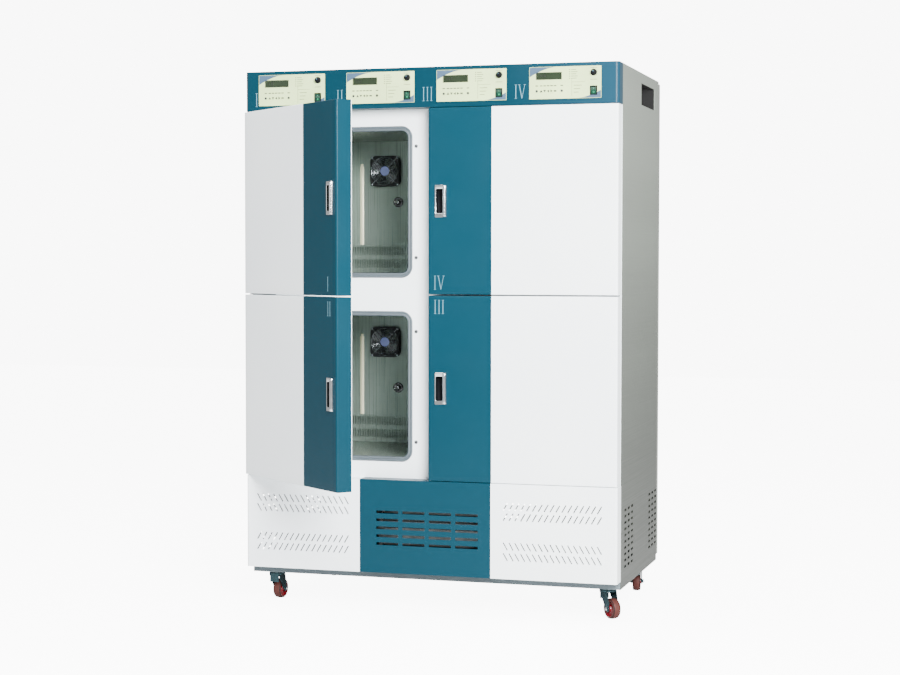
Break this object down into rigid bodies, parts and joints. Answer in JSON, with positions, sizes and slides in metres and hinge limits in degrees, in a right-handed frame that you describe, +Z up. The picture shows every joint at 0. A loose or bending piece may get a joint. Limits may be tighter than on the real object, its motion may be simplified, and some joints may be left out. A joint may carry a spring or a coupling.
{
  "type": "multi-chamber incubator",
  "caption": "Floor-standing laboratory incubator on swivel casters with separate insulated chambers behind side-hinged doors, control panels above and a vented machine compartment below.",
  "frame": {"origin": "centre of the bottom of the box that holds the whole part at rest, with its left doors standing open, at floor level", "axes": "+Z up, -Y out of the front of the cabinet, +X to the right as seen from the front"},
  "size_m": [1.4112, 1.2698, 1.975],
  "materials": {
    "blue_paint": "satin",
    "door_paint": "satin",
    "white_paint": "satin",
    "white_panel": "satin",
    "brushed_side": "brushed",
    "stainless": "brushed",
    "grey_steel": "satin",
    "zinc_steel": "zinc plated",
    "chrome_trim": "polished",
    "aluminium_fins": "mill finish",
    "black_enamel": "gloss",
    "black_plastic": "matte",
    "black_gloss": "gloss",
    "grey_plastic": "matte",
    "green_gloss": "gloss",
    "cream_plate": "matte",
    "circuit_board": "satin",
    "grey_seal": "matte",
    "foam": "open foam",
    "red_tyre": "satin"
  },
  "bodies": {
    "cabinet": {"base_frame": "grey_steel", "side_panel_left": "brushed_side", "side_panel_right": "brushed_side", "top_panel": "white_paint", "back_cover": "brushed_side", "front_fascia": "white_paint", "header_shell": "blue_paint", "base_cover": "door_paint", "insulation": "foam", "air_baffles": "stainless", "opening_seals": "grey_seal", "fan_frames": "black_plastic", "probe_plugs": "black_plastic", "chamber_coils": "aluminium_fins", "catch_studs": "chrome_trim", "control_plates": "cream_plate", "switch_bezels": "black_gloss", "control_boards": "circuit_board", "hinge_brackets": "zinc_steel", "caster_plates": "zinc_steel", "compressor": "black_enamel", "condenser": "aluminium_fins", "cord_gland": "black_plastic", "chamber_liner_upper_left": "stainless", "chamber_liner_lower_left": "stainless", "chamber_liner_lower_right": "stainless", "chamber_liner_upper_right": "stainless"},
    "door_upper_left": {"door_skin_upper_left": "door_paint", "door_liner_upper_left": "white_panel", "door_handle_upper_left": "chrome_trim"},
    "door_lower_left": {"door_skin_lower_left": "door_paint", "door_liner_lower_left": "white_panel", "door_handle_lower_left": "chrome_trim"},
    "door_lower_right": {"door_skin_lower_right": "door_paint", "door_liner_lower_right": "white_panel", "door_handle_lower_right": "chrome_trim"},
    "door_upper_right": {"door_skin_upper_right": "door_paint", "door_liner_upper_right": "white_panel", "door_handle_upper_right": "chrome_trim"},
    "fan_upper_left": {"fan_rotor_upper_left": "black_plastic"},
    "fan_lower_left": {"fan_rotor_lower_left": "black_plastic"},
    "fan_lower_right": {"fan_rotor_lower_right": "black_plastic"},
    "fan_upper_right": {"fan_rotor_upper_right": "black_plastic"},
    "limit_knob_1": {"limit_knob_1": "black_gloss"},
    "limit_knob_2": {"limit_knob_2": "black_gloss"},
    "limit_knob_3": {"limit_knob_3": "black_gloss"},
    "limit_knob_4": {"limit_knob_4": "black_gloss"},
    "power_rocker_1": {"power_rocker_1": "green_gloss"},
    "power_rocker_2": {"power_rocker_2": "green_gloss"},
    "power_rocker_3": {"power_rocker_3": "green_gloss"},
    "power_rocker_4": {"power_rocker_4": "green_gloss"},
    "caster_fork_front_left": {"caster_fork_front_left": "zinc_steel"},
    "caster_wheel_front_left": {"caster_wheel_front_left": "red_tyre"},
    "caster_fork_front_right": {"caster_fork_front_right": "zinc_steel"},
    "caster_wheel_front_right": {"caster_wheel_front_right": "red_tyre"},
    "caster_fork_back_left": {"caster_fork_back_left": "zinc_steel"},
    "caster_wheel_back_left": {"caster_wheel_back_left": "red_tyre"},
    "caster_fork_back_right": {"caster_fork_back_right": "zinc_steel"},
    "caster_wheel_back_right": {"caster_wheel_back_right": "red_tyre"},
    "condenser_fan": {"condenser_fan_rotor": "grey_plastic"}
  },
  "joints": [
    {"name": "door_upper_left_hinge", "type": "hinge", "parent": "cabinet", "child": "door_upper_left", "pos_m": [-0.6764, -0.17457, 1.495], "axis": [0, 0, -1], "range_deg": [-40.5, 69.5]},
    {"name": "door_lower_left_hinge", "type": "hinge", "parent": "cabinet", "child": "door_lower_left", "pos_m": [-0.6764, -0.17457, 0.822], "axis": [0, 0, -1], "range_deg": [-40.5, 69.5]},
    {"name": "door_lower_right_hinge", "type": "hinge", "parent": "cabinet", "child": "door_lower_right", "pos_m": [0.6876, -0.17457, 0.822], "axis": [0, 0, 1], "range_deg": [0, 110]},
    {"name": "door_upper_right_hinge", "type": "hinge", "parent": "cabinet", "child": "door_upper_right", "pos_m": [0.6876, -0.17457, 1.495], "axis": [0, 0, 1], "range_deg": [0, 110]},
    {"name": "fan_upper_left_spin", "type": "hinge", "parent": "cabinet", "child": "fan_upper_left", "pos_m": [-0.3444, 0.37543, 1.635], "axis": [0, -1, 0], "continuous": true},
    {"name": "fan_lower_left_spin", "type": "hinge", "parent": "cabinet", "child": "fan_lower_left", "pos_m": [-0.3444, 0.37543, 0.962], "axis": [0, -1, 0], "continuous": true},
    {"name": "fan_lower_right_spin", "type": "hinge", "parent": "cabinet", "child": "fan_lower_right", "pos_m": [0.3556, 0.37543, 0.962], "axis": [0, -1, 0], "continuous": true},
    {"name": "fan_upper_right_spin", "type": "hinge", "parent": "cabinet", "child": "fan_upper_right", "pos_m": [0.3556, 0.37543, 1.635], "axis": [0, -1, 0], "continuous": true},
    {"name": "limit_knob_1_turn", "type": "hinge", "parent": "cabinet", "child": "limit_knob_1", "pos_m": [-0.4094, -0.20457, 1.9385], "axis": [0, 1, 0], "range_deg": [-135, 135]},
    {"name": "limit_knob_2_turn", "type": "hinge", "parent": "cabinet", "child": "limit_knob_2", "pos_m": [-0.0679, -0.20457, 1.9385], "axis": [0, 1, 0], "range_deg": [-135, 135]},
    {"name": "limit_knob_3_turn", "type": "hinge", "parent": "cabinet", "child": "limit_knob_3", "pos_m": [0.2736, -0.20457, 1.9385], "axis": [0, 1, 0], "range_deg": [-135, 135]},
    {"name": "limit_knob_4_turn", "type": "hinge", "parent": "cabinet", "child": "limit_knob_4", "pos_m": [0.6151, -0.20457, 1.9385], "axis": [0, 1, 0], "range_deg": [-135, 135]},
    {"name": "power_rocker_1_rock", "type": "hinge", "parent": "cabinet", "child": "power_rocker_1", "pos_m": [-0.4094, -0.20457, 1.876], "axis": [-1, 0, 0], "range_deg": [0, 20]},
    {"name": "power_rocker_2_rock", "type": "hinge", "parent": "cabinet", "child": "power_rocker_2", "pos_m": [-0.0679, -0.20457, 1.876], "axis": [-1, 0, 0], "range_deg": [0, 20]},
    {"name": "power_rocker_3_rock", "type": "hinge", "parent": "cabinet", "child": "power_rocker_3", "pos_m": [0.2736, -0.20457, 1.876], "axis": [-1, 0, 0], "range_deg": [0, 20]},
    {"name": "power_rocker_4_rock", "type": "hinge", "parent": "cabinet", "child": "power_rocker_4", "pos_m": [0.6151, -0.20457, 1.876], "axis": [-1, 0, 0], "range_deg": [0, 20]},
    {"name": "caster_front_left_swivel", "type": "hinge", "parent": "cabinet", "child": "caster_fork_front_left", "pos_m": [-0.6324, -0.05957, 0.104], "axis": [0, 0, 1], "continuous": true},
    {"name": "caster_front_left_roll", "type": "hinge", "parent": "caster_fork_front_left", "child": "caster_wheel_front_left", "pos_m": [-0.62948, -0.03173, 0.0375], "axis": [-0.9945, 0.1045, 0], "continuous": true},
    {"name": "caster_front_right_swivel", "type": "hinge", "parent": "cabinet", "child": "caster_fork_front_right", "pos_m": [0.6436, -0.05957, 0.104], "axis": [0, 0, 1], "continuous": true},
    {"name": "caster_front_right_roll", "type": "hinge", "parent": "caster_fork_front_right", "child": "caster_wheel_front_right", "pos_m": [0.66339, -0.07937, 0.0375], "axis": [0.7071, 0.7071, 0], "continuous": true},
    {"name": "caster_back_left_swivel", "type": "hinge", "parent": "cabinet", "child": "caster_fork_back_left", "pos_m": [-0.6324, 0.48543, 0.104], "axis": [0, 0, 1], "continuous": true},
    {"name": "caster_back_left_roll", "type": "hinge", "parent": "caster_fork_back_left", "child": "caster_wheel_back_left", "pos_m": [-0.60609, 0.495, 0.0375], "axis": [-0.342, 0.9397, 0], "continuous": true},
    {"name": "caster_back_right_swivel", "type": "hinge", "parent": "cabinet", "child": "caster_fork_back_right", "pos_m": [0.6436, 0.48543, 0.104], "axis": [0, 0, 1], "continuous": true},
    {"name": "caster_back_right_roll", "type": "hinge", "parent": "caster_fork_back_right", "child": "caster_wheel_back_right", "pos_m": [0.6397, 0.51315, 0.0375], "axis": [-0.9903, -0.1392, 0], "continuous": true},
    {"name": "condenser_fan_spin", "type": "hinge", "parent": "cabinet", "child": "condenser_fan", "pos_m": [0.0056, -0.00957, 0.293], "axis": [0, -1, 0], "continuous": true}
  ]
}
